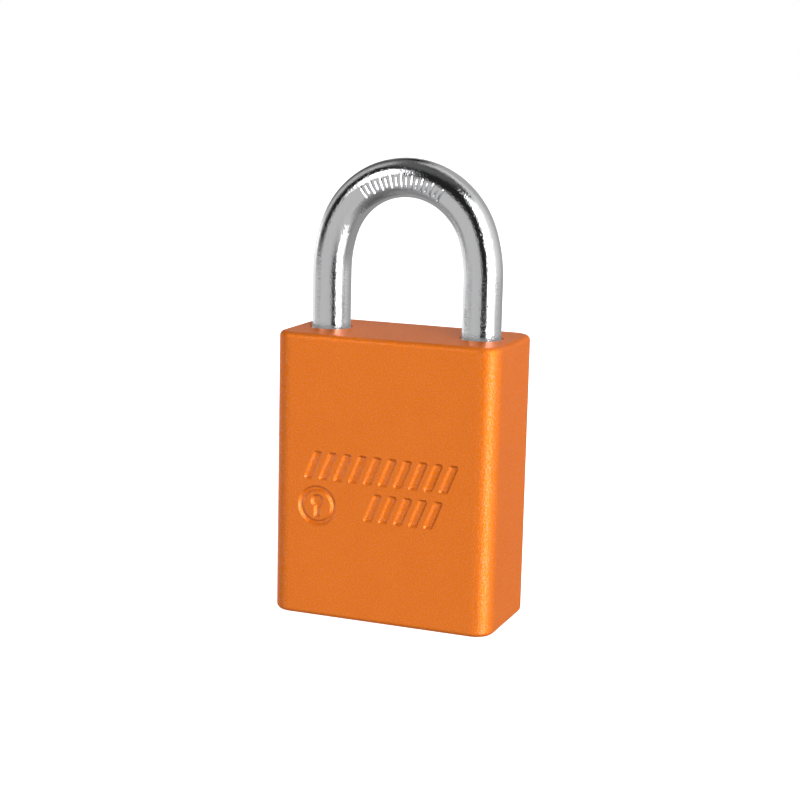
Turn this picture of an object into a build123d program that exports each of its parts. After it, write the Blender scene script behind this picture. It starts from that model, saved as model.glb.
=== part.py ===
from build123d import *
import math
import os

# A keyed safety (lockout) padlock with a solid aluminium case, a bent steel shackle and a five-pin
# cylinder. It stands on its base with the front face towards -Y: the origin is the centre of the base,
# +X runs across the width towards the toe of the shackle, and +Z runs up through the shackle.
#
# The shackle is drawn closed and the key cylinder in its opened position, a quarter turn from locked,
# with both locking balls withdrawn. From there every joint can move by itself: the shackle lifts, and
# turning the cylinder back a quarter turn cams both balls out into the notches of the shackle.
# All dimensions are in millimetres.

# ---------------------------------------------------------------- driving dimensions
BODY_WIDTH = 38.1
BODY_DEPTH = 19.5
BODY_HEIGHT = 46.8
CORNER_RADIUS = 3.175      # upright edges of the extrusion
EDGE_RADIUS = 0.9          # broken edges round the top and the base

SHACKLE_RADIUS = 3.175     # a quarter-inch bar
LEG_X = 13.1               # each leg's axis from the middle
SPRING_LINE = 9.4          # height above the case where the legs start to bend
FLANK_RADIUS = 22.0        # gentle bend at each side of the bow
CROWN_RADIUS = 12.6        # tighter bend over the top
LIFT = 15.5                # travel of the shackle

BALL_RADIUS = 3.175
BALL_HEIGHT = 37.2         # both balls lie at this height
BALL_LOCKED_BITE = 1.4     # how far a locked ball stands into its leg
TOE_BALL_TRAVEL = 1.7      # withdraws clear of the leg
HEEL_BALL_TRAVEL = 0.8     # stays partly out, which keeps the shackle in the case
LOCK_TURN = 90.0           # degrees from opened to locked

PLUG_RADIUS = 5.9
SHELL_RADIUS = 7.5
PIN_COUNT = 5
FIRST_PIN_Z = 5.0
PIN_PITCH = 3.96
PIN_RADIUS = 1.46
KEY_PIN_LENGTHS = [4.6, 5.5, 4.2, 5.9, 5.0]

RUNNING_GAP = 0.05         # radial clearance of parts that turn in each other
SLIDING_GAP = 0.06         # radial clearance of the pins in their chambers
BALL_GAP = 0.1             # clearance round a ball in its channel and in the cam
BORE_GAP = 0.225           # radial clearance of the shackle in the case
END_GAP = 0.2              # clearance at the ends of turning and wound pieces
CUT_PAST = 1.0             # how far a cutter runs past what it cuts

# ---------------------------------------------------------------- heights and places that follow
FACE_RECESS = 0.5                              # the cylinder's face stands this far inside the base
CAVITY_TOP = 28.2                              # roof of the keyhole-shaped cylinder cavity
SHELL_TOP = 26.8                               # end of the round part of the cylinder's shell
TOE_BORE_FLOOR = 32.0
TOE_TIP_Z = TOE_BORE_FLOOR + 0.6
HEEL_BORE_FLOOR = 6.0
HEEL_TIP_Z = 16.2
BORE_RADIUS = SHACKLE_RADIUS + BORE_GAP
LEG_INNER_X = LEG_X - SHACKLE_RADIUS           # inner surface of each leg
LOCKED_BALL_X = LEG_INNER_X + BALL_LOCKED_BITE - BALL_RADIUS
TOE_BALL_X = LOCKED_BALL_X - TOE_BALL_TRAVEL
HEEL_BALL_X = LOCKED_BALL_X - HEEL_BALL_TRAVEL
CHANNEL_RADIUS = BALL_RADIUS + 0.125
NOTCH_RADIUS = BALL_RADIUS + 0.175

CAM_RADIUS = LOCKED_BALL_X - BALL_RADIUS - 0.075
CAM_BASE_Z = 32.6
CAM_TOP_Z = 41.6
CAM_BORE_RADIUS = CAM_RADIUS + 0.1
CAM_BORE_TOP = 44.4
CAM_STEM_RADIUS = 1.8

BIBLE_HALF_WIDTH = 4.0                         # the pin housing beside the plug, seen from below
BIBLE_END_X = 15.6
COVER_SEAT_X = 12.6                            # outer end of the pin chambers
COVER_THICKNESS = 1.2
COVER_HALF_WIDTH = 1.7
CHAMBER_RADIUS = PIN_RADIUS + SLIDING_GAP
CHAMBER_DEPTH = -0.6                           # the plug's chambers run just past its middle
PIN_HEIGHTS = [FIRST_PIN_Z + i * PIN_PITCH for i in range(PIN_COUNT)]
DRIVER_START = PLUG_RADIUS + 2 * RUNNING_GAP
DRIVER_LENGTH = 3.4

SCREW_HEAD_RADIUS = 2.75
SCREW_HEAD_HEIGHT = 1.8
SCREW_SHANK_RADIUS = 1.7
SCREW_SEAT_Z = CAVITY_TOP + 1.9
SCREW_HEAD_GAP = 0.15

BORE_RIM = 0.2             # broken rim of each shackle bore
SPRING_SLOT_DEPTH = 1.0    # slot in the cam bore's wall for the spring's fixed leg
SPRING_SLOT_WIDTH = 0.9

# The opened plug has its row of pins towards +Y; locked, the row faces the housing at +X.
PLUG_PLANE = Plane(origin=(0, 0, 0), x_dir=(0, 1, 0), z_dir=(0, 0, 1))

os.makedirs("parts", exist_ok=True)


def save(piece, name):
    """Labels a finished piece and writes it to parts/ under the same name."""
    piece.part.label = name
    export_step(piece.part, f"parts/{name}.step")


def along_row(height):
    """Plane for a profile turned about the opened plug's pin row: local x is the distance from the
    plug's axis, and local y the radius of the pin."""
    return Plane(origin=(0, 0, height), x_dir=(0, 1, 0), z_dir=(1, 0, 0))


def along_housing(height):
    """The same plane for the fixed chambers in the shell, which lie along +X."""
    return Plane(origin=(0, 0, height), x_dir=(1, 0, 0), z_dir=(0, -1, 0))


def circle_through(first, second, third):
    """Centre of the circle through three points of a plane."""
    (ax, ay), (bx, by), (cx, cy) = first, second, third
    twice_area = 2 * (ax * (by - cy) + bx * (cy - ay) + cx * (ay - by))
    a, b, c = ax**2 + ay**2, bx**2 + by**2, cx**2 + cy**2
    x = (a * (by - cy) + b * (cy - ay) + c * (ay - by)) / twice_area
    y = (a * (cx - bx) + b * (ax - cx) + c * (bx - ax)) / twice_area
    return x, y


def keyhole_outline(grow):
    """Sketch of the cylinder's outline from below: a round end for the plug and a slot for the pins."""
    Circle(SHELL_RADIUS + grow)
    straight = BIBLE_END_X - BIBLE_HALF_WIDTH
    with Locations((straight / 2, 0)):
        Rectangle(straight, 2 * (BIBLE_HALF_WIDTH + grow))
    with Locations((straight, 0)):
        Circle(BIBLE_HALF_WIDTH + grow)


# ---------------------------------------------------------------- case
# One block of extruded aluminium, bored from above for the two legs and from below for the cylinder
# and the cam. A cross channel at ball height joins the bores. The front face carries stamped recesses
# with sloping walls: a row of slanted hazard bars, a keyhole sign, and a shorter row beside it.
STAMP_DEPTH = 0.4
STAMP_TAPER = 45.0         # degrees that the walls of a recess lean outwards
BAR_SLANT = 68.0           # degrees between a bar's side and its base
BAR_WIDTH = 1.65
BAR_HEIGHT = 4.8
BAR_PITCH = 2.6
BAR_CORNER = 0.45
ROW_DROP = 6.1             # from the upper row down to the lower one
UPPER_ROW_BARS = 10
LOWER_ROW_BARS = 5
UPPER_ROW_Z = 25.4
SIGN_CENTRE = (-10.9, 18.7)
SIGN_RADIUS = 3.4
SIGN_LINE = 1.05           # width of the ring round the keyhole
KEYHOLE_RADIUS = 1.15
KEYHOLE_SLOT = (1.15, 2.6)


def slanted_bars(count, middle, height):
    """Sketches a row of slanted bars, evenly spaced about its middle."""
    overhang = BAR_HEIGHT / math.tan(math.radians(BAR_SLANT))
    first = middle - (count - 1) / 2 * BAR_PITCH
    for i in range(count):
        with Locations((first + i * BAR_PITCH, height)):
            Trapezoid(BAR_WIDTH + overhang, BAR_HEIGHT, BAR_SLANT, 180 - BAR_SLANT)


# The lower row lies under the upper row's last bars and carries on their slant.
last_bars_middle = (UPPER_ROW_BARS - LOWER_ROW_BARS) / 2 * BAR_PITCH
lower_row_middle = last_bars_middle - ROW_DROP / math.tan(math.radians(BAR_SLANT))

with BuildPart() as case_body:
    with BuildSketch():
        RectangleRounded(BODY_WIDTH, BODY_DEPTH, CORNER_RADIUS)
    extrude(amount=BODY_HEIGHT)
    ends = case_body.faces().filter_by(Plane.XY)
    fillet(ends.edges(), EDGE_RADIUS)

    # bores for the shackle, with their rims broken
    with BuildSketch(Plane.XY.offset(TOE_BORE_FLOOR)):
        with Locations((LEG_X, 0)):
            Circle(BORE_RADIUS)
    extrude(amount=BODY_HEIGHT, mode=Mode.SUBTRACT)
    with BuildSketch(Plane.XY.offset(HEEL_BORE_FLOOR)):
        with Locations((-LEG_X, 0)):
            Circle(BORE_RADIUS)
    extrude(amount=BODY_HEIGHT, mode=Mode.SUBTRACT)
    top_face = case_body.faces().sort_by(Axis.Z)[-1]
    rims = top_face.inner_wires().edges()
    chamfer(rims, BORE_RIM)

    # cylinder cavity, cam bore and cross channel
    with BuildSketch():
        keyhole_outline(RUNNING_GAP)
    extrude(amount=CAVITY_TOP, mode=Mode.SUBTRACT)
    with BuildSketch():
        Circle(CAM_BORE_RADIUS)
    extrude(amount=CAM_BORE_TOP, mode=Mode.SUBTRACT)
    with BuildSketch(Plane.YZ.offset(-LEG_X)):
        with Locations((0, BALL_HEIGHT)):
            Circle(CHANNEL_RADIUS)
    extrude(amount=2 * LEG_X, mode=Mode.SUBTRACT)

    # counterbore and hole of the screw that holds the cylinder, and the slot for the cam spring's leg
    with BuildSketch(Plane.XY.offset(TOE_BORE_FLOOR)):
        with Locations((LEG_X, 0)):
            Circle(SCREW_HEAD_RADIUS + SCREW_HEAD_GAP)
    extrude(amount=SCREW_SEAT_Z - TOE_BORE_FLOOR, mode=Mode.SUBTRACT)
    with BuildSketch(Plane.XY.offset(SCREW_SEAT_Z)):
        with Locations((LEG_X, 0)):
            Circle(SCREW_SHANK_RADIUS + 2 * RUNNING_GAP)
    extrude(amount=CAVITY_TOP - SCREW_SEAT_Z, mode=Mode.SUBTRACT)
    with BuildSketch(Plane.XY.offset(CAM_BORE_TOP)):
        with Locations((CAM_BORE_RADIUS, 0)):
            Rectangle(2 * SPRING_SLOT_DEPTH, SPRING_SLOT_WIDTH)
    extrude(amount=-SPRING_SLOT_WIDTH, mode=Mode.SUBTRACT)

    # stamped recesses on the front face
    with BuildSketch(Plane.XZ.offset(BODY_DEPTH / 2)) as stamps:
        slanted_bars(UPPER_ROW_BARS, 0, UPPER_ROW_Z)
        slanted_bars(LOWER_ROW_BARS, lower_row_middle, UPPER_ROW_Z - ROW_DROP)
        fillet(stamps.vertices(), BAR_CORNER)
        with Locations(SIGN_CENTRE):
            Circle(SIGN_RADIUS)
            Circle(SIGN_RADIUS - SIGN_LINE, mode=Mode.SUBTRACT)
        with Locations((SIGN_CENTRE[0], SIGN_CENTRE[1] + 0.7 * KEYHOLE_RADIUS)):
            Circle(KEYHOLE_RADIUS)
        with Locations((SIGN_CENTRE[0], SIGN_CENTRE[1] - 0.6 * KEYHOLE_RADIUS)):
            Rectangle(*KEYHOLE_SLOT)
    extrude(amount=-STAMP_DEPTH, taper=STAMP_TAPER, mode=Mode.SUBTRACT)
save(case_body, "case_body")

# ---------------------------------------------------------------- shackle
# One bar bent to a bow: a straight leg, a gentle flank, the crown, a second flank, and the heel leg.
# Both legs have a notch for a ball on their inner side. The heel leg goes on down: a channel leads
# from its notch to a turned neck, where its ball lets it swivel but not leave the case.
NECK_RADIUS = 1.625
NECK_HALF_HEIGHT = 2.95
TIP_CHAMFER = 0.6
TICK_COUNT = 17
TICK_STEP = 4.1            # degrees round the crown from one stamped tick to the next
TICK_WIDTH = 0.44
TICK_DEPTH = 0.19
LONG_TICK = 42.0           # degrees that a tick reaches round the bar
SHORT_TICK = 26.0
TICK_TILT = 10.0           # degrees that the row lies inwards from the bar's foremost line

spring_z = BODY_HEIGHT + SPRING_LINE
flank_angle = math.degrees(math.acos((FLANK_RADIUS - LEG_X) / (FLANK_RADIUS - CROWN_RADIUS)))
crown_z = spring_z + (FLANK_RADIUS - CROWN_RADIUS) * math.sin(math.radians(flank_angle))
neck_z = BALL_HEIGHT - LIFT
notch_x = LOCKED_BALL_X
heel_channel_x = HEEL_BALL_X

with BuildPart() as shackle:
    with BuildLine(Plane.XZ):
        Line((LEG_X, TOE_TIP_Z), (LEG_X, spring_z))
        CenterArc((LEG_X - FLANK_RADIUS, spring_z), FLANK_RADIUS, 0, flank_angle)
        CenterArc((0, crown_z), CROWN_RADIUS, flank_angle, 180 - 2 * flank_angle)
        CenterArc((FLANK_RADIUS - LEG_X, spring_z), FLANK_RADIUS, 180 - flank_angle, flank_angle)
        Line((-LEG_X, spring_z), (-LEG_X, HEEL_TIP_Z))
    with BuildSketch(Plane.XY.offset(TOE_TIP_Z)):
        with Locations((LEG_X, 0)):
            Circle(SHACKLE_RADIUS)
    sweep()
    tips = shackle.faces().filter_by(Plane.XY)
    chamfer(tips.edges(), TIP_CHAMFER)

    # notches for the balls, and the channel and neck of the heel leg
    with BuildSketch(Plane.XZ):
        with Locations((notch_x, BALL_HEIGHT), (-notch_x, BALL_HEIGHT)):
            Circle(NOTCH_RADIUS)
    extrude(amount=2 * SHACKLE_RADIUS, both=True, mode=Mode.SUBTRACT)
    with BuildSketch(Plane.XY.offset(neck_z)):
        with Locations((-heel_channel_x, 0)):
            Circle(NOTCH_RADIUS)
    extrude(amount=LIFT, mode=Mode.SUBTRACT)
    with BuildSketch(Plane.XY.offset(neck_z)):
        with Locations((-LEG_X, 0)):
            Circle(2 * SHACKLE_RADIUS)
            Circle(NECK_RADIUS, mode=Mode.SUBTRACT)
    extrude(amount=NECK_HALF_HEIGHT, both=True, mode=Mode.SUBTRACT)

    # a row of stamped V-shaped ticks round the front of the crown, alternately long and short
    for i in range(TICK_COUNT):
        place = math.radians(90 + (i - (TICK_COUNT - 1) / 2) * TICK_STEP)
        along = Vector(-math.sin(place), 0, math.cos(place))
        bar_centre = Vector(CROWN_RADIUS * math.cos(place), 0, crown_z + CROWN_RADIUS * math.sin(place))
        reach = LONG_TICK if i % 2 == 0 else SHORT_TICK
        start = Vector(0, -1, 0).rotate(Axis(origin=(0, 0, 0), direction=along), -TICK_TILT - reach / 2)
        with BuildSketch(Plane(origin=bar_centre, x_dir=along, z_dir=along.cross(start))):
            with BuildLine():
                Polyline(
                    (0, SHACKLE_RADIUS - TICK_DEPTH),
                    (TICK_WIDTH, SHACKLE_RADIUS + TICK_DEPTH),
                    (-TICK_WIDTH, SHACKLE_RADIUS + TICK_DEPTH),
                    close=True,
                )
            make_face()
        revolve(axis=Axis(bar_centre, along), revolution_arc=reach, mode=Mode.SUBTRACT)
save(shackle, "shackle")

# ---------------------------------------------------------------- locking balls and cam
# The cam's drum stands between the balls. Each side has a groove that starts deep, where the opened
# ball lies, and runs out to the drum's surface a quarter turn on, which pushes the ball outwards.
TAIL_LENGTH = 6.0
TAIL_THICKNESS = 2.6
TAIL_GAP = 0.1
TAIL_TOP_Z = 35.2
SPRING_LEG_RADIUS = 2.9
CAM_SLOT_WIDTH = 1.0
CAM_SLOT_DEPTH = 0.9
CAM_SLOT_SPAN = 110.0
CAM_EDGE = 0.3

for name, ball_x in (("toe_ball", TOE_BALL_X), ("heel_ball", -HEEL_BALL_X)):
    with BuildPart() as ball:
        with Locations((ball_x, 0, BALL_HEIGHT)):
            Sphere(BALL_RADIUS)
    save(ball, name)


def cut_ball_groove(side, deep_x, travel):
    """Cuts a groove a quarter turn long, from deep_x out to the drum's surface. Its centre line is the
    circle through three of its points, so that it can be revolved."""
    places = []
    for share in (0.0, 0.5, 1.0):
        angle = math.radians(side + share * LOCK_TURN)
        distance = deep_x + share * travel
        places.append((distance * math.cos(angle), distance * math.sin(angle)))
    centre = circle_through(*places)
    reach = math.dist(centre, places[0])
    to_start = Vector(places[0][0] - centre[0], places[0][1] - centre[1], 0)
    to_end = Vector(places[2][0] - centre[0], places[2][1] - centre[1], 0)
    turn = to_start.get_signed_angle(to_end, Vector(0, 0, 1)) % 360
    direction = to_start.normalized()
    groove_plane = Plane(
        origin=(*centre, BALL_HEIGHT), x_dir=direction, z_dir=direction.cross(Vector(0, 0, 1))
    )
    with BuildSketch(groove_plane) as section:
        with Locations((reach, 0)):
            Circle(BALL_RADIUS + BALL_GAP)
    spin = Axis((*centre, 0), (0, 0, 1))
    revolve(section.sketch, axis=spin, revolution_arc=turn, mode=Mode.SUBTRACT)
    with Locations((*places[0], BALL_HEIGHT)):
        Sphere(BALL_RADIUS + BALL_GAP, mode=Mode.SUBTRACT)


with BuildPart() as locking_cam:
    with BuildSketch(Plane.XY.offset(CAM_BASE_Z)):
        Circle(CAM_RADIUS)
    extrude(amount=CAM_TOP_Z - CAM_BASE_Z)
    chamfer(locking_cam.edges(), CAM_EDGE)
    with BuildSketch(Plane.XY.offset(CAM_TOP_Z)):
        Circle(CAM_STEM_RADIUS)
    extrude(amount=CAM_BORE_TOP - CAM_TOP_Z - END_GAP)
    cut_ball_groove(0.0, TOE_BALL_X, TOE_BALL_TRAVEL)
    cut_ball_groove(180.0, HEEL_BALL_X, HEEL_BALL_TRAVEL)
    with BuildSketch(Plane.XY.offset(CAM_BASE_Z)):
        Rectangle(TAIL_THICKNESS + 2 * TAIL_GAP, TAIL_LENGTH + 2 * TAIL_GAP)
    extrude(amount=TAIL_TOP_Z + 2 * TAIL_GAP - CAM_BASE_Z, mode=Mode.SUBTRACT)
    with BuildSketch(Plane.XY.offset(CAM_TOP_Z)):
        SlotArc(CenterArc((0, 0), SPRING_LEG_RADIUS, -5, CAM_SLOT_SPAN), CAM_SLOT_WIDTH)
    extrude(amount=-CAM_SLOT_DEPTH, mode=Mode.SUBTRACT)
save(locking_cam, "locking_cam")

# ---------------------------------------------------------------- springs
CAM_SPRING_WIRE = 0.3      # radius of each wire
CAM_SPRING_TURNS = 3
SHACKLE_SPRING_WIRE = 0.4
SHACKLE_SPRING_RADIUS = 2.5
SHACKLE_SPRING_TURNS = 8
PIN_SPRING_WIRE = 0.125
PIN_SPRING_RADIUS = 1.15
PIN_SPRING_TURNS = 5
LEG_THINNER = 0.02         # a leg is drawn this much thinner in radius than the coil that it leaves
LEG_REACH = 0.8            # share of its slot that a leg fills


def add_coil(seat, direction, length, mean_radius, wire_radius, turns):
    """Adds a helical coil that starts at a seat point and fills the given length along a direction."""
    rise = length - 2 * wire_radius
    start = Vector(*seat) + Vector(*direction) * wire_radius
    with BuildLine() as line:
        Helix(pitch=rise / turns, height=rise, radius=mean_radius, center=start, direction=direction)
    with BuildSketch(Plane(origin=line.line @ 0, z_dir=line.line % 0)) as section:
        Circle(wire_radius)
    sweep(section.sketch, path=line.line, is_frenet=True)


with BuildPart() as shackle_spring:
    add_coil(
        (-LEG_X, 0, HEEL_BORE_FLOOR),
        (0, 0, 1),
        HEEL_TIP_Z - HEEL_BORE_FLOOR,
        SHACKLE_SPRING_RADIUS,
        SHACKLE_SPRING_WIRE,
        SHACKLE_SPRING_TURNS,
    )
save(shackle_spring, "shackle_spring")

# The cam's spring is wound round the stem. One leg reaches into the case, the other into the cam.
coil_base = CAM_TOP_Z + END_GAP
coil_top = CAM_BORE_TOP - END_GAP

with BuildPart() as cam_return_spring:
    add_coil(
        (0, 0, coil_base),
        (0, 0, 1),
        coil_top - coil_base,
        SPRING_LEG_RADIUS,
        CAM_SPRING_WIRE,
        CAM_SPRING_TURNS,
    )
    with BuildSketch(Plane.XY.offset(coil_base + CAM_SPRING_WIRE)):
        with Locations((SPRING_LEG_RADIUS, 0)):
            Circle(CAM_SPRING_WIRE - LEG_THINNER)
    extrude(amount=-CAM_SPRING_WIRE - END_GAP - LEG_REACH * CAM_SLOT_DEPTH)
    with BuildSketch(Plane.YZ.offset(SPRING_LEG_RADIUS)):
        with Locations((0, coil_top - CAM_SPRING_WIRE)):
            Circle(CAM_SPRING_WIRE - LEG_THINNER)
    extrude(amount=CAM_BORE_RADIUS + LEG_REACH * SPRING_SLOT_DEPTH - SPRING_LEG_RADIUS)
save(cam_return_spring, "cam_return_spring")

# ---------------------------------------------------------------- cylinder shell
# A round body with the pin housing beside it. Its bottom face lies just inside the base of the case.
# The housing's raised end takes the screw, and a milled slot takes the cover over the pin chambers.
FLANGE_RADIUS = 6.6
FLANGE_HEIGHT = 0.95
RAISED_BLOCK_X = 7.3
COVER_BOTTOM_Z = 3.0
COVER_TOP_Z = PIN_HEIGHTS[-1] + 2.1
THREAD_BOTTOM_Z = 23.7

with BuildPart() as cylinder_shell:
    with BuildSketch(Plane.XY.offset(FACE_RECESS)):
        keyhole_outline(0)
    extrude(amount=SHELL_TOP - FACE_RECESS)
    with BuildSketch(Plane.XY.offset(SHELL_TOP)):
        keyhole_outline(0)
        with Locations((RAISED_BLOCK_X - SHELL_RADIUS - CUT_PAST, 0)):
            Rectangle(2 * (SHELL_RADIUS + CUT_PAST), 2 * (SHELL_RADIUS + CUT_PAST), mode=Mode.SUBTRACT)
    extrude(amount=CAVITY_TOP - SHELL_TOP)

    # bore and flange seat of the plug, pin chambers, cover slot and screw hole
    with BuildSketch(Plane.XY.offset(FACE_RECESS)):
        Circle(PLUG_RADIUS + RUNNING_GAP)
    extrude(amount=CAVITY_TOP, mode=Mode.SUBTRACT)
    with BuildSketch(Plane.XY.offset(FACE_RECESS)):
        Circle(FLANGE_RADIUS + RUNNING_GAP)
    extrude(amount=FLANGE_HEIGHT + RUNNING_GAP, mode=Mode.SUBTRACT)
    with BuildSketch(Plane.YZ):
        with Locations(*[(0, height) for height in PIN_HEIGHTS]):
            Circle(CHAMBER_RADIUS)
    extrude(amount=COVER_SEAT_X, mode=Mode.SUBTRACT)
    with BuildSketch(Plane.YZ.offset(COVER_SEAT_X)):
        with Locations((0, (COVER_BOTTOM_Z + COVER_TOP_Z) / 2)):
            Rectangle(2 * COVER_HALF_WIDTH, COVER_TOP_Z - COVER_BOTTOM_Z)
    extrude(amount=BIBLE_END_X, mode=Mode.SUBTRACT)
    with BuildSketch(Plane.XY.offset(THREAD_BOTTOM_Z)):
        with Locations((LEG_X, 0)):
            Circle(SCREW_SHANK_RADIUS + RUNNING_GAP)
    extrude(amount=CAVITY_TOP, mode=Mode.SUBTRACT)
save(cylinder_shell, "cylinder_shell")

with BuildPart() as chamber_cover:
    with BuildSketch(Plane.YZ.offset(COVER_SEAT_X)):
        with Locations((0, (COVER_BOTTOM_Z + COVER_TOP_Z) / 2)):
            Rectangle(2 * COVER_HALF_WIDTH, COVER_TOP_Z - COVER_BOTTOM_Z)
    extrude(amount=COVER_THICKNESS)
save(chamber_cover, "chamber_cover")

# ---------------------------------------------------------------- cylinder screw
SOCKET_ACROSS_FLATS = 2.5
SOCKET_DEPTH = 1.2
SCREW_EDGE = 0.25
SCREW_END_Z = THREAD_BOTTOM_Z + 0.3

with BuildPart() as cylinder_screw:
    with BuildSketch(Plane.XY.offset(SCREW_END_Z)):
        with Locations((LEG_X, 0)):
            Circle(SCREW_SHANK_RADIUS)
    extrude(amount=SCREW_SEAT_Z - SCREW_END_Z)
    with BuildSketch(Plane.XY.offset(SCREW_SEAT_Z)):
        with Locations((LEG_X, 0)):
            Circle(SCREW_HEAD_RADIUS)
    extrude(amount=SCREW_HEAD_HEIGHT)
    chamfer(cylinder_screw.faces().sort_by(Axis.Z)[-1].edges(), SCREW_EDGE)
    with BuildSketch(Plane.XY.offset(SCREW_SEAT_Z + SCREW_HEAD_HEIGHT)):
        with Locations((LEG_X, 0)):
            RegularPolygon(SOCKET_ACROSS_FLATS / 2, 6, major_radius=False)
    extrude(amount=-SOCKET_DEPTH, mode=Mode.SUBTRACT)
save(cylinder_screw, "cylinder_screw")

# ---------------------------------------------------------------- plug and its clip
# The plug is turned from one bar: a flange at its face, the body with the pin chambers and keyway, a
# groove for the clip, a neck, and a flat tail in the cam's slot. The keyway steps from side to side,
# as warded keyways do.
CLIP_GROOVE_RADIUS = 4.9
CLIP_GROOVE_BOTTOM = SHELL_TOP + RUNNING_GAP
CLIP_GROOVE_TOP = 27.55
PLUG_SHOULDER_Z = 27.8
NECK_TOP_Z = CAM_BASE_Z - END_GAP
PLUG_NECK_RADIUS = 3.6
KEYWAY_LENGTH = 25.2
KEYWAY_STEPS = [           # from and to along the pin row, then the two sides
    (-PLUG_RADIUS - CUT_PAST, -3.0, -1.15, 0.75),
    (-3.6, -0.2, -0.55, 1.15),
    (-0.8, 2.6, -1.05, 0.65),
]
FLANGE_EDGE = 0.15
CLIP_THICKNESS = 0.6
CLIP_OUTER_RADIUS = 6.9
CLIP_MOUTH = 2.5

with BuildPart() as plug:
    with BuildSketch(Plane.XY.offset(FACE_RECESS)):
        Circle(FLANGE_RADIUS)
    extrude(amount=FLANGE_HEIGHT)
    chamfer(plug.faces().sort_by(Axis.Z)[0].edges(), FLANGE_EDGE)
    with BuildSketch(Plane.XY.offset(FACE_RECESS + FLANGE_HEIGHT)):
        Circle(PLUG_RADIUS)
    extrude(amount=PLUG_SHOULDER_Z - FACE_RECESS - FLANGE_HEIGHT)
    with BuildSketch(Plane.XY.offset(CLIP_GROOVE_BOTTOM)):
        Circle(PLUG_RADIUS + CUT_PAST)
        Circle(CLIP_GROOVE_RADIUS, mode=Mode.SUBTRACT)
    extrude(amount=CLIP_GROOVE_TOP - CLIP_GROOVE_BOTTOM, mode=Mode.SUBTRACT)
    with BuildSketch(Plane.XY.offset(PLUG_SHOULDER_Z)):
        Circle(PLUG_NECK_RADIUS)
    extrude(amount=NECK_TOP_Z - PLUG_SHOULDER_Z)
    with BuildSketch(Plane.XY.offset(NECK_TOP_Z)):
        Rectangle(TAIL_THICKNESS, TAIL_LENGTH)
    extrude(amount=TAIL_TOP_Z - NECK_TOP_Z)

    with BuildSketch(PLUG_PLANE.offset(FACE_RECESS)):
        for near, far, left, right in KEYWAY_STEPS:
            with Locations(((near + far) / 2, (left + right) / 2)):
                Rectangle(far - near, right - left)
    extrude(amount=KEYWAY_LENGTH, mode=Mode.SUBTRACT)
    with BuildSketch(Plane.XZ.offset(-CHAMBER_DEPTH)):
        with Locations(*[(0, height) for height in PIN_HEIGHTS]):
            Circle(CHAMBER_RADIUS)
    extrude(amount=-(PLUG_RADIUS - CHAMBER_DEPTH + CUT_PAST), mode=Mode.SUBTRACT)
save(plug, "plug")

with BuildPart() as plug_retaining_clip:
    with BuildSketch(Plane.XY.offset(SHELL_TOP + 2 * RUNNING_GAP)):
        Circle(CLIP_OUTER_RADIUS)
        Circle(CLIP_GROOVE_RADIUS + RUNNING_GAP, mode=Mode.SUBTRACT)
        with Locations((-CLIP_OUTER_RADIUS, 0)):
            Rectangle(CLIP_OUTER_RADIUS, CLIP_MOUTH, mode=Mode.SUBTRACT)
    extrude(amount=CLIP_THICKNESS)
save(plug_retaining_clip, "plug_retaining_clip")

# ---------------------------------------------------------------- pins and their springs
KEY_PIN_TOP = PLUG_RADIUS - RUNNING_GAP
KEY_PIN_TIP_RADIUS = 0.5
KEY_PIN_CONE = 0.9
PIN_EDGE = 0.2
SPOOL_RADIUS = 1.15
SPOOL_MARGIN = 0.8

for i, (height, length) in enumerate(zip(PIN_HEIGHTS, KEY_PIN_LENGTHS), start=1):
    with BuildPart() as key_pin:
        with BuildSketch(along_row(height)):
            with BuildLine():
                Polyline(
                    (KEY_PIN_TOP, 0),
                    (KEY_PIN_TOP, PIN_RADIUS - PIN_EDGE),
                    (KEY_PIN_TOP - PIN_EDGE, PIN_RADIUS),
                    (KEY_PIN_TOP - length + KEY_PIN_CONE, PIN_RADIUS),
                    (KEY_PIN_TOP - length, KEY_PIN_TIP_RADIUS),
                    (KEY_PIN_TOP - length, 0),
                    close=True,
                )
            make_face()
        revolve(axis=Axis((0, 0, height), (0, 1, 0)))
    save(key_pin, f"key_pin_{i}")

    with BuildPart() as driver_pin:
        driver_end = DRIVER_START + DRIVER_LENGTH
        with BuildSketch(along_housing(height)):
            with BuildLine():
                Polyline(
                    (DRIVER_START, 0),
                    (DRIVER_START, PIN_RADIUS - PIN_EDGE),
                    (DRIVER_START + PIN_EDGE, PIN_RADIUS),
                    (DRIVER_START + SPOOL_MARGIN, PIN_RADIUS),
                    (DRIVER_START + SPOOL_MARGIN, SPOOL_RADIUS),
                    (driver_end - SPOOL_MARGIN, SPOOL_RADIUS),
                    (driver_end - SPOOL_MARGIN, PIN_RADIUS),
                    (driver_end, PIN_RADIUS),
                    (driver_end, 0),
                    close=True,
                )
            make_face()
        revolve(axis=Axis((0, 0, height), (1, 0, 0)))
    save(driver_pin, f"driver_pin_{i}")

    with BuildPart() as pin_spring:
        add_coil(
            (driver_end, 0, height),
            (1, 0, 0),
            COVER_SEAT_X - driver_end,
            PIN_SPRING_RADIUS,
            PIN_SPRING_WIRE,
            PIN_SPRING_TURNS,
        )
    save(pin_spring, f"pin_spring_{i}")
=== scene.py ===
# %% [markdown]
# # A safety padlock on a white table
# The lock comes in as a finished engineering model, and this notebook gives it its looks: the finishes
# of its metals, the small turned and wound pieces that deserve more detail, and the studio round it.
# Everything is in metres. The front of the lock faces -Y, and it stands on the floor at z = 0.

# %% Load the frame
import math

import bmesh
import bpy
from mathutils import Matrix, Quaternion, Vector


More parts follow.
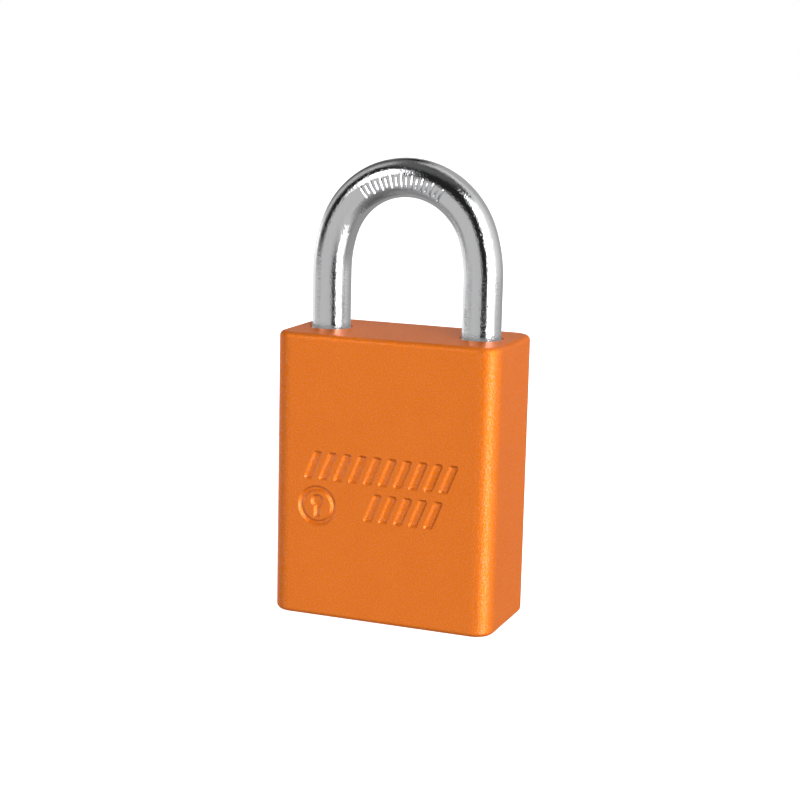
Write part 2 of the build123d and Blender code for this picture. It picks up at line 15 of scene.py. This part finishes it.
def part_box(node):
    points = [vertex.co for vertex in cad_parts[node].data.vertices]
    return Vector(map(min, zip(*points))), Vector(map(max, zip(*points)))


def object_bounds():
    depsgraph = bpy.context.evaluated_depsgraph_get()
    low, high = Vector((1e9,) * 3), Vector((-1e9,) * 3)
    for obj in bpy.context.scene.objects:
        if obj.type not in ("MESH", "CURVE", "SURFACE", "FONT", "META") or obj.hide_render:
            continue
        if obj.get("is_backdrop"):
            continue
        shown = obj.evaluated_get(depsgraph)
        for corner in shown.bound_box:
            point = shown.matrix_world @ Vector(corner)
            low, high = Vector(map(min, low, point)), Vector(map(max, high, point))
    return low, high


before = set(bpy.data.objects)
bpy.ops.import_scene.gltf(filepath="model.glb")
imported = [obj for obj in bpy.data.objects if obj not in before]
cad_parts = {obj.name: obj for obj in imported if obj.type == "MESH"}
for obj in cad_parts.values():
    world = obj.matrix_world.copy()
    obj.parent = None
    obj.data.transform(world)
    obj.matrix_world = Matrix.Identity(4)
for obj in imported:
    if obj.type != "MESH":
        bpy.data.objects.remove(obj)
cad_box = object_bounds()
MM = 0.001
print("size in mm:", [round((high - low) / MM, 2) for low, high in zip(*cad_box)])

# %% [markdown]
# ## Writing shader maths as ordinary maths
# A material is a network of nodes, and a long one is hard to read as a list of links. Two small
# helpers make it read like a sum: a Signal wraps one output and knows how to add, subtract and
# multiply, and a Network adds any other node from its type, its settings and its inputs.

# %% Signal and Network
class Signal:
    """One output socket that carries a number."""

    def __init__(self, network, socket):
        self.network = network
        self.socket = socket

    def _math(self, operation, first, second=None):
        inputs = {0: first} if second is None else {0: first, 1: second}
        return self.network.signal("ShaderNodeMath", "Value", {"operation": operation}, inputs)

    def __add__(self, other):
        return self._math("ADD", self, other)

    __radd__ = __add__

    def __sub__(self, other):
        return self._math("SUBTRACT", self, other)

    def __rsub__(self, other):
        return self._math("SUBTRACT", other, self)

    def __mul__(self, other):
        return self._math("MULTIPLY", self, other)

    __rmul__ = __mul__

    def __pow__(self, other):
        return self._math("POWER", self, other)

    def arcsine(self):
        return self._math("ARCSINE", self)

    def turned_from(self, other):
        """The angle whose tangent is this over the other."""
        return self._math("ARCTAN2", self, other)


class Network:
    """The node tree of a material or of the world."""

    def __init__(self, tree):
        self.tree = tree
        tree.nodes.clear()

    def connect(self, socket, value):
        """Links a socket to a signal or to another socket, or sets it to a constant."""
        if isinstance(value, Signal):
            value = value.socket
        if isinstance(value, bpy.types.NodeSocket):
            self.tree.links.new(value, socket)
        else:
            socket.default_value = value

    def node(self, kind, settings=None, inputs=None):
        """Adds a node: its settings first, then the values or links of its sockets."""
        made = self.tree.nodes.new(kind)
        for key, value in (settings or {}).items():
            setattr(made, key, value)
        for key, value in (inputs or {}).items():
            self.connect(made.inputs[key], value)
        return made

    def signal(self, kind, output, settings=None, inputs=None):
        """Adds a node and wraps one of its outputs."""
        return Signal(self, self.node(kind, settings, inputs).outputs[output])

    def smooth_step(self, value, low, high):
        """0 below low, 1 above high, and a soft rise between them."""
        inputs = {"Value": value, "From Min": low, "From Max": high}
        return self.signal("ShaderNodeMapRange", "Result", {"interpolation_type": "SMOOTHSTEP"}, inputs)

    def mix_colour(self, factor, first, second):
        """Blends two colours. A mix node keeps its colour sockets at 6 and 7, and its colour result at 2."""
        inputs = {0: factor, 6: first, 7: second}
        return self.node("ShaderNodeMix", {"data_type": "RGBA"}, inputs).outputs[2]


# %% [markdown]
# ## The camera
# The lock is seen from a little to its right and a little above, with a long lens that stands back,
# so that upright edges stay nearly parallel. The camera turns very slightly about its own axis,
# as it does when it is held by hand.

# %% Camera
CAMERA_AZIMUTH = math.radians(21.35)
CAMERA_ELEVATION = math.radians(10.76)
CAMERA_ROLL = math.radians(1.33)
CAMERA_DISTANCE = 300.7 * MM
CAMERA_TARGET = Vector((-0.65, 0.0, 35.49)) * MM
CAMERA_LENS = 82.56
CAMERA_NEAREST = 0.01

camera_data = bpy.data.cameras.new("camera")
camera_data.lens = CAMERA_LENS
camera_data.clip_start = CAMERA_NEAREST
camera = bpy.data.objects.new("camera", camera_data)
bpy.context.scene.collection.objects.link(camera)
bpy.context.scene.camera = camera
away = Vector(
    (
        math.sin(CAMERA_AZIMUTH) * math.cos(CAMERA_ELEVATION),
        -math.cos(CAMERA_AZIMUTH) * math.cos(CAMERA_ELEVATION),
        math.sin(CAMERA_ELEVATION),
    )
)
camera.location = CAMERA_TARGET + away * CAMERA_DISTANCE
camera.rotation_mode = "QUATERNION"
camera.rotation_quaternion = (-away).to_track_quat("-Z", "Y") @ Quaternion((0, 0, 1), CAMERA_ROLL)
print("camera at", [round(x / MM, 1) for x in camera.location])

# %% [markdown]
# ## The studio
# Polished steel shows nothing but its surroundings, so the studio is painted first. In a real studio,
# white cards and black cards stand round a chrome part. Here the world does that: each card is a patch
# of brightness between two compass bearings and two heights. Bearing 0 looks from the lock towards its
# own front, and bearings grow towards the lock's right-hand side.

# %% Cards round the lock
SEAM = 30.0                # the bearing opposite the join of the compass
CARDS = [                  # bearings, heights, brightness, softness of the edges, all angles in degrees
    ("front_card", (-66, 9), (-48, -3), 0.57, 3),
    ("front_card_crest", (-51, 9), (-3, 14), 0.57, 3),
    ("front_low_card", (9, 48), (-48, -15), 0.6, 3),
    ("left_low_card", (-93, -66), (-48, -13), 0.3, 3),
    ("left_low_strip", (-93, -66), (-13, -3), 0.68, 3),
    ("left_window", (-47, -28), (17, 42), 4.0, 2),
    ("left_card", (-122, -84), (-3, 62), 0.36, 3),
    ("left_card_strip", (-105, -91), (10, 60), 0.24, 3),
    ("left_back_glow", (-151, -95), (-19, 6), 0.95, 4),
    ("left_back_card", (-151, -120), (12, 62), 0.09, 6),
    ("left_back_floor", (-151, -93), (-60, -18), 0.36, 4),
    ("key_softbox", (50, 71), (-31, 48), 4.6, 1.6),
    ("key_softbox_far", (71, 96), (-31, 48), 1.6, 1.6),
    ("key_low_card", (48, 99), (-48, -31), 0.55, 3),
    ("right_strip", (96, 117), (-9, 46), 0.2, 5),
    ("right_card", (97, 140), (-9, 66), 0.66, 5),
    ("far_right_card", (140, 192), (-9, 66), 0.44, 5),
    ("right_low_card", (99, 212), (-60, -9), 0.34, 3),
    ("back_glow", (193, 212), (-9, 27), 0.6, 4),
    ("back_high_card", (118, 212), (63, 80), 0.6, 4),
    ("ceiling", (-151, 120), (58, 91), 0.1, 8),
    ("table_edge", (-93, 99), (-60, -48), 0.32, 4),
    ("table", (-151, 211), (-91, -60), 0.17, 5),
]
ROOM_BRIGHTNESS = 0.018

world = bpy.data.worlds.new("studio")
bpy.context.scene.world = world
world.use_nodes = True
studio = Network(world.node_tree)
looking = studio.node("ShaderNodeTexCoord").outputs["Generated"]
direction = studio.node("ShaderNodeSeparateXYZ", None, {0: looking})
east, north, up = (Signal(studio, direction.outputs[i]) for i in range(3))
seam_sine, seam_cosine = math.sin(math.radians(SEAM)), math.cos(math.radians(SEAM))
across = east * seam_cosine + north * seam_sine
ahead = east * seam_sine - north * seam_cosine
bearing = across.turned_from(ahead) * math.degrees(1) + SEAM
height = up.arcsine() * math.degrees(1)
brightness = Signal(studio, studio.node("ShaderNodeValue").outputs[0])
brightness.socket.default_value = ROOM_BRIGHTNESS
for name, bearings, heights, level, soft in CARDS:
    card = level
    for measure, (low, high) in ((bearing, bearings), (height, heights)):
        card = studio.smooth_step(measure, low - soft, low + soft) * card
        card = (1 - studio.smooth_step(measure, high - soft, high + soft)) * card
    brightness = brightness + card
seen = studio.signal("ShaderNodeLightPath", "Is Camera Ray")
shown = seen + (1 - seen) * brightness
background = studio.node("ShaderNodeBackground", None, {"Color": (1, 1, 1, 1), "Strength": shown})
studio.node("ShaderNodeOutputWorld", None, {"Surface": background.outputs[0]})
print("cards:", len(CARDS))

# %% [markdown]
# Two kinds of card have to stand close by, seen by reflections alone. The dark gap between the front
# card and the softbox is wide in the toe leg and narrow in the heel leg, and cards painted on the
# far-off sky would give both legs the same gap, so a glowing sheet at arm's length moves its edge.
# The other two are grey discs just under the case's top, a painted reflection of that top for each leg's
# foot to mirror.

# %% Near cards
NEAR_CARD_RIGHT_X = 29.8 * MM
NEAR_CARD_WIDTH = 50.0 * MM
NEAR_CARD_HEIGHT = 50.0 * MM
NEAR_CARD_Y = -111.8 * MM
NEAR_CARD_GLOW = 0.57
CASE_REFLECTION_DISC_Z = 46.7 * MM
CASE_REFLECTION_DISC_RADIUS = 7.0 * MM
CASE_REFLECTION_GLOW = 0.32
CASE_REFLECTION_DISC_SEGMENTS = 48


def new_material(name):
    """Make an empty material and the network that fills it."""
    material = bpy.data.materials.new(name)
    material.use_nodes = True
    return material, Network(material.node_tree)


def object_from(name, bm, material):
    """Turn finished bmesh work into an object of the scene."""
    mesh = bpy.data.meshes.new(name)
    bm.to_mesh(mesh)
    bm.free()
    mesh.materials.append(material)
    made = bpy.data.objects.new(name, mesh)
    bpy.context.scene.collection.objects.link(made)
    return made


def mirrored_card(name, bm, glow_level):
    """Make a glowing stage card that only reflections can see."""
    glow, net = new_material(name + "_glow")
    lit = net.node("ShaderNodeEmission", None, {"Strength": glow_level})
    net.node("ShaderNodeOutputMaterial", None, {"Surface": lit.outputs[0]})
    card = object_from(name, bm, glow)
    card.visible_camera = False
    card.visible_diffuse = False
    card.visible_shadow = False
    card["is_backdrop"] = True


bm = bmesh.new()
bmesh.ops.create_grid(bm, x_segments=1, y_segments=1, size=0.5)
upright = Matrix.Rotation(math.radians(-90), 4, "X")
size = Matrix.Diagonal((NEAR_CARD_WIDTH, 1, NEAR_CARD_HEIGHT, 1))
place = Matrix.Translation((NEAR_CARD_RIGHT_X - NEAR_CARD_WIDTH / 2, NEAR_CARD_Y, NEAR_CARD_HEIGHT / 2))
bmesh.ops.transform(bm, matrix=place @ size @ upright, verts=bm.verts)
mirrored_card("near_card", bm, NEAR_CARD_GLOW)

screw_low, screw_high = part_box("cylinder_screw")
LEG_AXIS_X = (screw_low[0] + screw_high[0]) / 2    # the screw lies straight under the toe leg
# Painted reflection: two glowing grey discs stand in for the case's top in the mirror of the legs' feet.
bm = bmesh.new()
for side in (-1, 1):
    place = Matrix.Translation((side * LEG_AXIS_X, 0, CASE_REFLECTION_DISC_Z))
    bmesh.ops.create_circle(
        bm, cap_ends=True, segments=CASE_REFLECTION_DISC_SEGMENTS, radius=CASE_REFLECTION_DISC_RADIUS, matrix=place
    )
mirrored_card("painted_case_reflection_discs", bm, CASE_REFLECTION_GLOW)
print("near card's edge", [round(v / MM, 1) for v in (NEAR_CARD_RIGHT_X, NEAR_CARD_Y)], "mm")
print("legs at x =", round(LEG_AXIS_X / MM, 2), "mm either way")

# %% [markdown]
# The cards alone would leave the floor grey, so a large soft lamp hangs overhead. It lights the matt
# floor and the coloured coating, and is kept out of the mirror finish, where a dark ceiling belongs.
# The floor glows a little so that it comes out pure white. It casts no shadow, because its sheet lies
# exactly in the plane of the lock's underside, and it is clear from below.

# %% Lamp and floor
LAMP_SIZE = 0.5
LAMP_PLACE = Vector((0.52, -0.6, 0.5))
LAMP_POWER = 6.2
FLOOR_SIZE = 8.0
PAPER_WHITE = 0.9
PAPER_GLOW = 0.86

lamp_data = bpy.data.lights.new("overhead_lamp", "AREA")
lamp_data.size = LAMP_SIZE
lamp_data.energy = LAMP_POWER
lamp = bpy.data.objects.new("overhead_lamp", lamp_data)
lamp.location = LAMP_PLACE
lamp.rotation_mode = "QUATERNION"
lamp.rotation_quaternion = (-lamp.location).to_track_quat("-Z", "Y")
lamp.visible_glossy = False
bpy.context.scene.collection.objects.link(lamp)

floor_finish, paper = new_material("floor_paper")
matt = paper.node("ShaderNodeBsdfDiffuse", None, {"Color": (PAPER_WHITE, PAPER_WHITE, PAPER_WHITE, 1)})
glow = paper.node("ShaderNodeEmission", None, {"Strength": PAPER_GLOW})
lit = paper.node("ShaderNodeAddShader", None, {0: matt.outputs[0], 1: glow.outputs[0]})
clear = paper.node("ShaderNodeBsdfTransparent")
below = paper.signal("ShaderNodeNewGeometry", "Backfacing")
sheet = paper.node("ShaderNodeMixShader", None, {0: below, 1: lit.outputs[0], 2: clear.outputs[0]})
paper.node("ShaderNodeOutputMaterial", None, {"Surface": sheet.outputs[0]})

bm = bmesh.new()
bmesh.ops.create_grid(bm, x_segments=1, y_segments=1, size=FLOOR_SIZE / 2)
floor = object_from("floor", bm, floor_finish)
floor.visible_glossy = False
floor.visible_diffuse = False
floor.visible_shadow = False
floor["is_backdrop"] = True
bpy.context.scene.view_settings.view_transform = "Standard"
print("lamp", round(LAMP_PLACE.length, 2), "m away; floor", FLOOR_SIZE, "m wide")

# %% [markdown]
# ## The case's finish
# The case is blasted, then dyed and anodised: a satin colour with metal under it, and a fine even
# grain that glitters wherever it catches a lamp. So the shader is part metal, and one fine noise
# drives the bump, the roughness and the strength of a thin clear coat over the colour.

# %% Anodised aluminium
def object_point(net, scale=(1, 1, 1)):
    """The place of a point on its piece, stretched to taste."""
    coordinates = net.node("ShaderNodeTexCoord").outputs["Object"]
    return net.node("ShaderNodeMapping", None, {"Vector": coordinates, "Scale": scale}).outputs[0]


def noise(net, point, scale, detail=2.0, roughness=0.5):
    """A cloudy noise from 0 to 1, with scale cells to the metre."""
    inputs = {"Vector": point, "Scale": scale, "Detail": detail, "Roughness": roughness}
    return net.signal("ShaderNodeTexNoise", "Fac", None, inputs)


def grained_bump(net, height, strength, distance):
    """Tilts the surface as a height map would."""
    inputs = {"Height": height, "Strength": strength, "Distance": distance}
    return net.node("ShaderNodeBump", None, inputs).outputs[0]


def finish_with(net, settings):
    """Ends a network with one Principled shader."""
    shader = net.node("ShaderNodeBsdfPrincipled", None, settings)
    net.node("ShaderNodeOutputMaterial", None, {"Surface": shader.outputs[0]})


def dress(material, *names):
    """Gives nodes of the lock their material, and keeps count of who has one."""
    for name in names:
        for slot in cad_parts[name].material_slots:
            slot.material = material
        dressed.add(name)


GRAIN_SCALE = 4000
CLOUD_SCALE = 160
ORANGE_DARK = (0.855, 0.188, 0.008, 1)
ORANGE_LIGHT = (0.905, 0.208, 0.014, 1)
dressed = set()

anodised, net = new_material("anodised_orange")
point = object_point(net)
grain = noise(net, point, GRAIN_SCALE, 1.5)
cloud = noise(net, point, CLOUD_SCALE, 2.0)
sparkle = net.smooth_step(grain, 0.4, 0.7)
finish_with(
    net,
    {
        "Base Color": net.mix_colour(cloud, ORANGE_DARK, ORANGE_LIGHT),
        "Metallic": 0.5,
        "Roughness": grain * 0.1 + 0.32,
        "Specular Tint": (1.0, 0.48, 0.12, 1),
        "Specular IOR Level": 0.25,
        "Coat Weight": sparkle * 0.6,
        "Coat Roughness": 0.38,
        "Coat IOR": 2.2,
        "Normal": grained_bump(net, grain, 0.9, 0.1 * MM),
    },
)
dress(anodised, "case_body")
print("grain of", round(1 / GRAIN_SCALE / MM, 2), "mm")

# %% [markdown]
# ## The shackle's plating
# Bright plating over a bent steel bar is nearly a mirror, but it keeps the fine unevenness of the
# drawn steel under it. That shows only where a reflection has an edge, which it turns ragged, so it
# is made as a slight bump. A second, streaked bump follows the bar's drawing marks.

# %% Plated steel
PIT_SCALE = 3200
STREAK_SCALE = 2600
STREAK_STRETCH = (1, 1, 0.06)

plated, net = new_material("plated_steel")
point = object_point(net)
pits = noise(net, point, PIT_SCALE, 2.5, 0.6)
streaks = noise(net, object_point(net, STREAK_STRETCH), STREAK_SCALE, 2.0)
finish_with(
    net,
    {
        "Base Color": net.mix_colour(streaks, (0.76, 0.76, 0.77, 1), (0.80, 0.80, 0.81, 1)),
        "Metallic": 1.0,
        "Roughness": streaks * 0.05 + 0.05,
        "Normal": grained_bump(net, pits + streaks * 0.35, 0.8, 0.05 * MM),
    },
)
dress(plated, "shackle")
print("pits of", round(1 / PIT_SCALE / MM, 2), "mm")

# %% [markdown]
# ## Turned and milled metals
# The lock's inner pieces come off a lathe, and a lathe tool leaves fine rings round the piece's axis.
# Rings are what a noise gives when it is fed only two numbers: the distance from the axis and the place
# along it. The piece's own axis has to be known for that, so each maker takes a point on it.


# %% Helpers for turned metal
AXES = {"X": (1, 2, 0), "Y": (2, 0, 1), "Z": (0, 1, 2)}  # the two directions across, then the one along


def lathe_rings(net, axis, centre, fineness):
    """A noise that runs in rings round an axis through a point."""
    coordinates = net.node("ShaderNodeTexCoord").outputs["Object"]
    moved = net.node("ShaderNodeMapping", None, {"Vector": coordinates, "Location": [-c for c in centre]})
    parts = net.node("ShaderNodeSeparateXYZ", None, {0: moved.outputs[0]})
    first, second, along = (Signal(net, parts.outputs[i]) for i in AXES[axis])
    distance = (first * first + second * second) ** 0.5
    place = net.node("ShaderNodeCombineXYZ", None, {"X": distance, "Y": along}).outputs[0]
    return noise(net, place, fineness, 3.0, 0.6)


RING_DEPTH = 0.008 * MM
STAIN_SCALE = 260


def turned_metal(name, dark, light, roughness, axis="Z", centre=(0, 0, 0), fineness=2400):
    """A lathe-turned metal with its rings, and a slow stain that shifts its colour."""
    material, net = new_material(name)
    rings = lathe_rings(net, axis, centre, fineness)
    stain = noise(net, object_point(net), STAIN_SCALE, 3.0)
    finish_with(
        net,
        {
            "Base Color": net.mix_colour(rings * 0.5 + stain * 0.5, (*dark, 1), (*light, 1)),
            "Metallic": 1.0,
            "Roughness": stain * 0.14 + rings * 0.08 + roughness,
            "Normal": grained_bump(net, rings, 0.6, RING_DEPTH),
        },
    )
    return material


# %% [markdown]
# Each turned piece gets its metal here. Most of them turn about the upright axis of the cylinder. The
# screw lies under the toe leg, and the pins lie across, each in its own row: at rest the plug has been
# turned a quarter, so the key pins lie along Y while the driver pins lie along X.

# %% Brass and steel pieces
BRASS = ((0.50, 0.33, 0.10), (0.80, 0.58, 0.24))
NICKEL = ((0.50, 0.47, 0.40), (0.74, 0.71, 0.64))
STEEL = ((0.36, 0.36, 0.37), (0.60, 0.60, 0.61))
BRIGHT_STEEL = ((0.58, 0.58, 0.59), (0.78, 0.78, 0.79))
BLACKENED = ((0.035, 0.035, 0.038), (0.11, 0.11, 0.115))

dress(turned_metal("shell_brass", *BRASS, 0.22), "cylinder_shell")
dress(turned_metal("nickelled_brass", *NICKEL, 0.16), "plug")
dress(turned_metal("turned_cam_steel", *STEEL, 0.24), "locking_cam")
screw_axis = (LEG_AXIS_X, 0, 0)
PIN_NUMBERS = range(1, 6)
dress(turned_metal("blackened_screw_steel", *BLACKENED, 0.34, centre=screw_axis), "cylinder_screw")
dress(turned_metal("stamped_clip_steel", *BLACKENED, 0.28, fineness=900), "plug_retaining_clip")
for number in PIN_NUMBERS:
    low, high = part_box(f"key_pin_{number}")
    on_axis = (0, 0, (low[2] + high[2]) / 2)
    dress(turned_metal(f"key_pin_{number}_brass", *BRASS, 0.2, "Y", on_axis), f"key_pin_{number}")
    dress(turned_metal(f"driver_pin_{number}_steel", *STEEL, 0.2, "X", on_axis), f"driver_pin_{number}")
print("pieces dressed so far:", len(dressed))

# %% [markdown]
# ## Balls, springs and the chamber cover
# A bearing ball is ground and lapped until no mark has a direction, so its finish is an even, very fine
# noise. Spring wire is drawn through a die and oiled: dark, with faint streaks. The cover is a strip of
# milled brass, so its marks run straight along it.

# %% Balls, wire and cover
lapped, net = new_material("lapped_ball_steel")
scuffs = noise(net, object_point(net), 4200, 3.0, 0.7)
finish_with(
    net,
    {
        "Base Color": net.mix_colour(scuffs, (0.62, 0.62, 0.64, 1), (0.74, 0.74, 0.75, 1)),
        "Metallic": 1.0,
        "Roughness": scuffs * 0.08 + 0.06,
        "Normal": grained_bump(net, scuffs, 0.3, 0.004 * MM),
    },
)
dress(lapped, "toe_ball", "heel_ball")

wire, net = new_material("oiled_spring_wire")
streaks = noise(net, object_point(net), 3000, 4.0, 0.65)
finish_with(
    net,
    {
        "Base Color": net.mix_colour(streaks, (0.20, 0.20, 0.21, 1), (0.42, 0.41, 0.40, 1)),
        "Metallic": 1.0,
        "Roughness": streaks * 0.2 + 0.2,
        "Normal": grained_bump(net, streaks, 0.4, 0.006 * MM),
    },
)
dress(wire, "shackle_spring", "cam_return_spring", *(f"pin_spring_{number}" for number in PIN_NUMBERS))

milled, net = new_material("milled_cover_brass")
marks = noise(net, object_point(net, (1, 1, 0.08)), 3400, 3.0, 0.6)
dark, light = BRASS
finish_with(
    net,
    {
        "Base Color": net.mix_colour(marks, (*dark, 1), (*light, 1)),
        "Metallic": 1.0,
        "Roughness": marks * 0.16 + 0.22,
        "Normal": grained_bump(net, marks, 0.5, 0.008 * MM),
    },
)
dress(milled, "chamber_cover")

undressed = sorted(set(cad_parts) - dressed)
print("nodes without a finish of their own:", undressed)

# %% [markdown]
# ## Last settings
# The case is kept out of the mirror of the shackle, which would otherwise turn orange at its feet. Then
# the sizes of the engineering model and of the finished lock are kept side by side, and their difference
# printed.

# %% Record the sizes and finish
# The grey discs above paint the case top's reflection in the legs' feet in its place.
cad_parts["case_body"].visible_glossy = False
sizes = {"cad": [list(corner) for corner in cad_box], "visual": [list(corner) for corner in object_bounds()]}
print("sizes differ by", [round((a - b) / MM, 3) for a, b in zip(sizes["cad"][1], sizes["visual"][1])], "mm")
